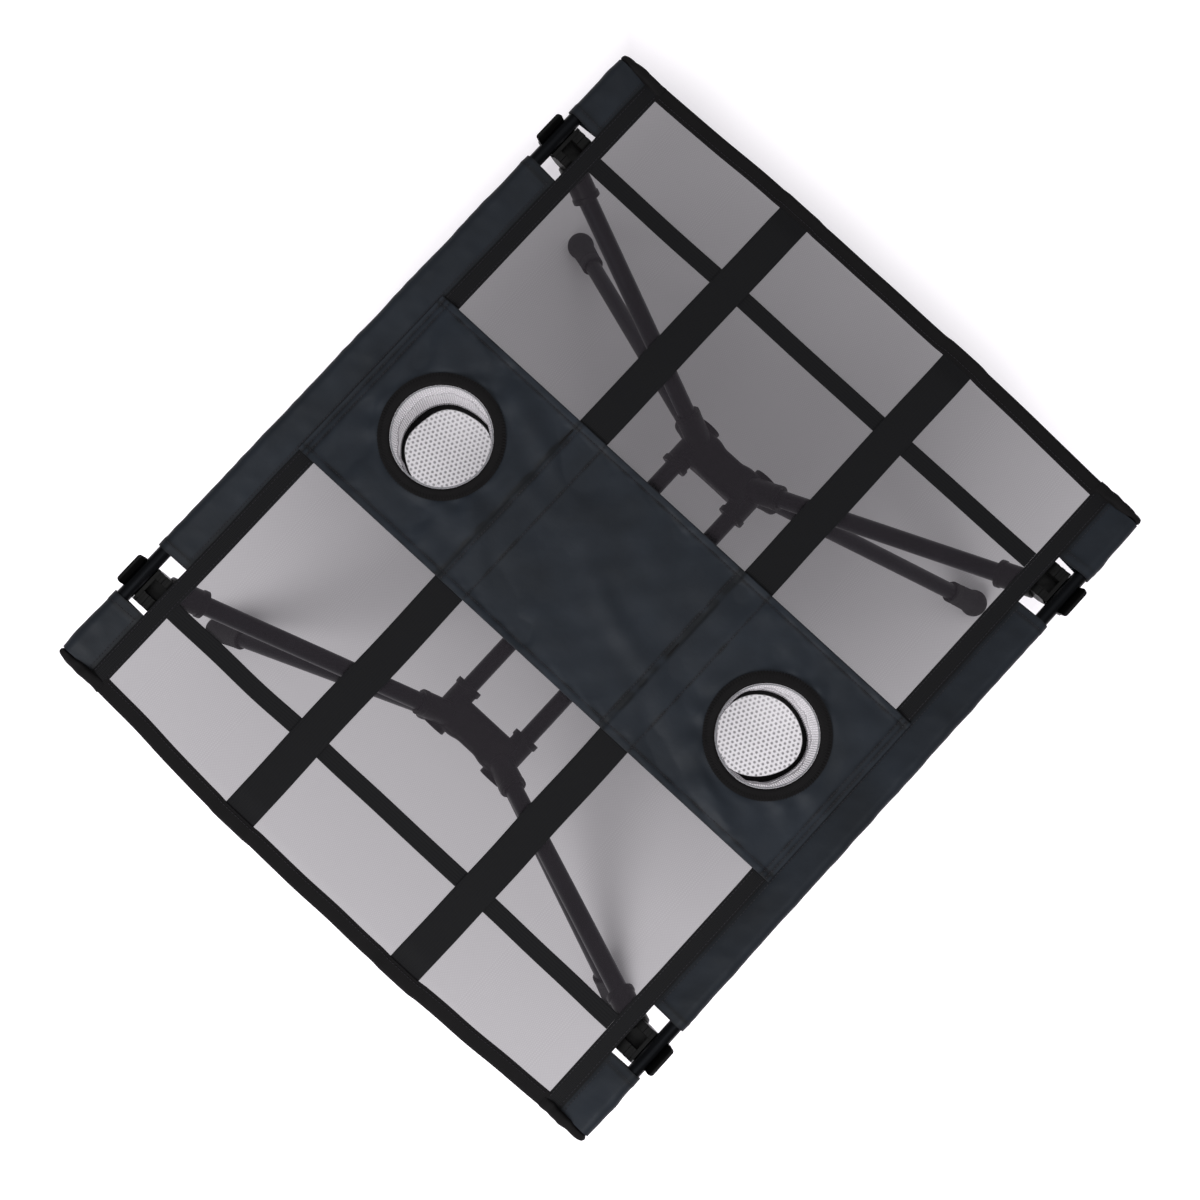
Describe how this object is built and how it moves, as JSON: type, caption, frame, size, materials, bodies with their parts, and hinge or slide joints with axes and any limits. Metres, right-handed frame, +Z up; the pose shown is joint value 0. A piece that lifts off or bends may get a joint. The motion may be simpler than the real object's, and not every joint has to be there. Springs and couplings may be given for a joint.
{
  "type": "camp kitchen table",
  "caption": "Low camp kitchen table: a pole frame with moulded hubs carries a lift-off top of mesh and cloth, with straps and hanging cup holders.",
  "frame": {"origin": "on the ground, below the middle of the top", "axes": "+X along the length of the top to the right, +Y across it to the rear, +Z up"},
  "size_m": [0.686, 0.5844, 0.381],
  "materials": {
    "anodised_pole": "black anodised aluminium tube, satin",
    "moulded_nylon": "dark grey glass-filled nylon, fine moulded texture",
    "foot_rubber": "moulded rubber, matt",
    "navy_cloth": "tightly woven navy polyester cloth with a faint sheen",
    "black_webbing": "flat woven black polyester webbing",
    "black_binding": "black folded binding tape, stitched",
    "grey_mesh": "fine grey see-through polyester mesh",
    "pocket_mesh": "open pale hexagon mesh",
    "shock_cord": "braided elastic cord"
  },
  "bodies": {
    "frame": {"crossbar_cord_front": "shock_cord", "crossbar_cord_rear": "shock_cord", "crossbar_front": "anodised_pole", "crossbar_rear": "anodised_pole", "hub_left": "moulded_nylon", "hub_right": "moulded_nylon"},
    "rear_right_arm": {"arm_rear_right": "anodised_pole", "arm_cord_rear_right": "shock_cord", "hook_rear_right": "moulded_nylon"},
    "rear_right_leg": {"leg_rear_right": "anodised_pole", "leg_cord_rear_right": "shock_cord", "foot_rear_right": "foot_rubber"},
    "rear_left_arm": {"arm_rear_left": "anodised_pole", "arm_cord_rear_left": "shock_cord", "hook_rear_left": "moulded_nylon"},
    "rear_left_leg": {"leg_rear_left": "anodised_pole", "leg_cord_rear_left": "shock_cord", "foot_rear_left": "foot_rubber"},
    "front_right_arm": {"arm_front_right": "anodised_pole", "arm_cord_front_right": "shock_cord", "hook_front_right": "moulded_nylon"},
    "front_right_leg": {"leg_front_right": "anodised_pole", "leg_cord_front_right": "shock_cord", "foot_front_right": "foot_rubber"},
    "front_left_arm": {"arm_front_left": "anodised_pole", "arm_cord_front_left": "shock_cord", "hook_front_left": "moulded_nylon"},
    "front_left_leg": {"leg_front_left": "anodised_pole", "leg_cord_front_left": "shock_cord", "foot_front_left": "foot_rubber"},
    "top": {"centre_band": "navy_cloth", "corner_fold_front_left": "black_binding", "corner_fold_front_right": "black_binding", "corner_fold_rear_left": "black_binding", "corner_fold_rear_right": "black_binding", "cup_pocket_front": "pocket_mesh", "cup_pocket_rear": "pocket_mesh", "cup_ring_front": "black_binding", "cup_ring_rear": "black_binding", "end_binding_left": "black_binding", "end_binding_right": "black_binding", "mesh_panel_left": "grey_mesh", "mesh_panel_right": "grey_mesh", "narrow_strap_left": "black_webbing", "narrow_strap_right": "black_webbing", "rod_ferrule_front": "anodised_pole", "rod_ferrule_rear": "anodised_pole", "side_rod_front_left": "anodised_pole", "side_rod_front_right": "anodised_pole", "side_rod_rear_left": "anodised_pole", "side_rod_rear_right": "anodised_pole", "side_sleeve_front": "navy_cloth", "side_sleeve_rear": "navy_cloth", "side_tape_front": "black_webbing", "side_tape_rear": "black_webbing", "wide_strap_front": "black_webbing", "wide_strap_rear": "black_webbing"}
  },
  "joints": [
    {"name": "top_lift", "type": "slide", "parent": "frame", "child": "top", "axis": [0, 0, 1], "range_m": [0, 0.1]},
    {"name": "arm_pull_rear_right", "type": "slide", "parent": "frame", "child": "rear_right_arm", "axis": [0.2687, 0.8145, 0.5142], "range_m": [0, 0.025]},
    {"name": "leg_pull_rear_right", "type": "slide", "parent": "frame", "child": "rear_right_leg", "axis": [0.3116, 0.7397, -0.5965], "range_m": [0, 0.024], "stiffness_N_per_m": 300, "springref_m": -0.05},
    {"name": "arm_pull_rear_left", "type": "slide", "parent": "frame", "child": "rear_left_arm", "axis": [-0.2687, 0.8145, 0.5142], "range_m": [0, 0.025]},
    {"name": "leg_pull_rear_left", "type": "slide", "parent": "frame", "child": "rear_left_leg", "axis": [-0.3116, 0.7397, -0.5965], "range_m": [0, 0.024], "stiffness_N_per_m": 300, "springref_m": -0.05},
    {"name": "arm_pull_front_right", "type": "slide", "parent": "frame", "child": "front_right_arm", "axis": [0.2687, -0.8145, 0.5142], "range_m": [0, 0.025]},
    {"name": "leg_pull_front_right", "type": "slide", "parent": "frame", "child": "front_right_leg", "axis": [0.3116, -0.7397, -0.5965], "range_m": [0, 0.024], "stiffness_N_per_m": 300, "springref_m": -0.05},
    {"name": "arm_pull_front_left", "type": "slide", "parent": "frame", "child": "front_left_arm", "axis": [-0.2687, -0.8145, 0.5142], "range_m": [0, 0.025]},
    {"name": "leg_pull_front_left", "type": "slide", "parent": "frame", "child": "front_left_leg", "axis": [-0.3116, -0.7397, -0.5965], "range_m": [0, 0.024], "stiffness_N_per_m": 300, "springref_m": -0.05}
  ],
  "couplings": [
    {"joint": "arm_pull_rear_right", "follows": "top_lift", "ratio": 0.25},
    {"joint": "arm_pull_rear_left", "follows": "top_lift", "ratio": 0.25},
    {"joint": "arm_pull_front_right", "follows": "top_lift", "ratio": 0.25},
    {"joint": "arm_pull_front_left", "follows": "top_lift", "ratio": 0.25}
  ]
}
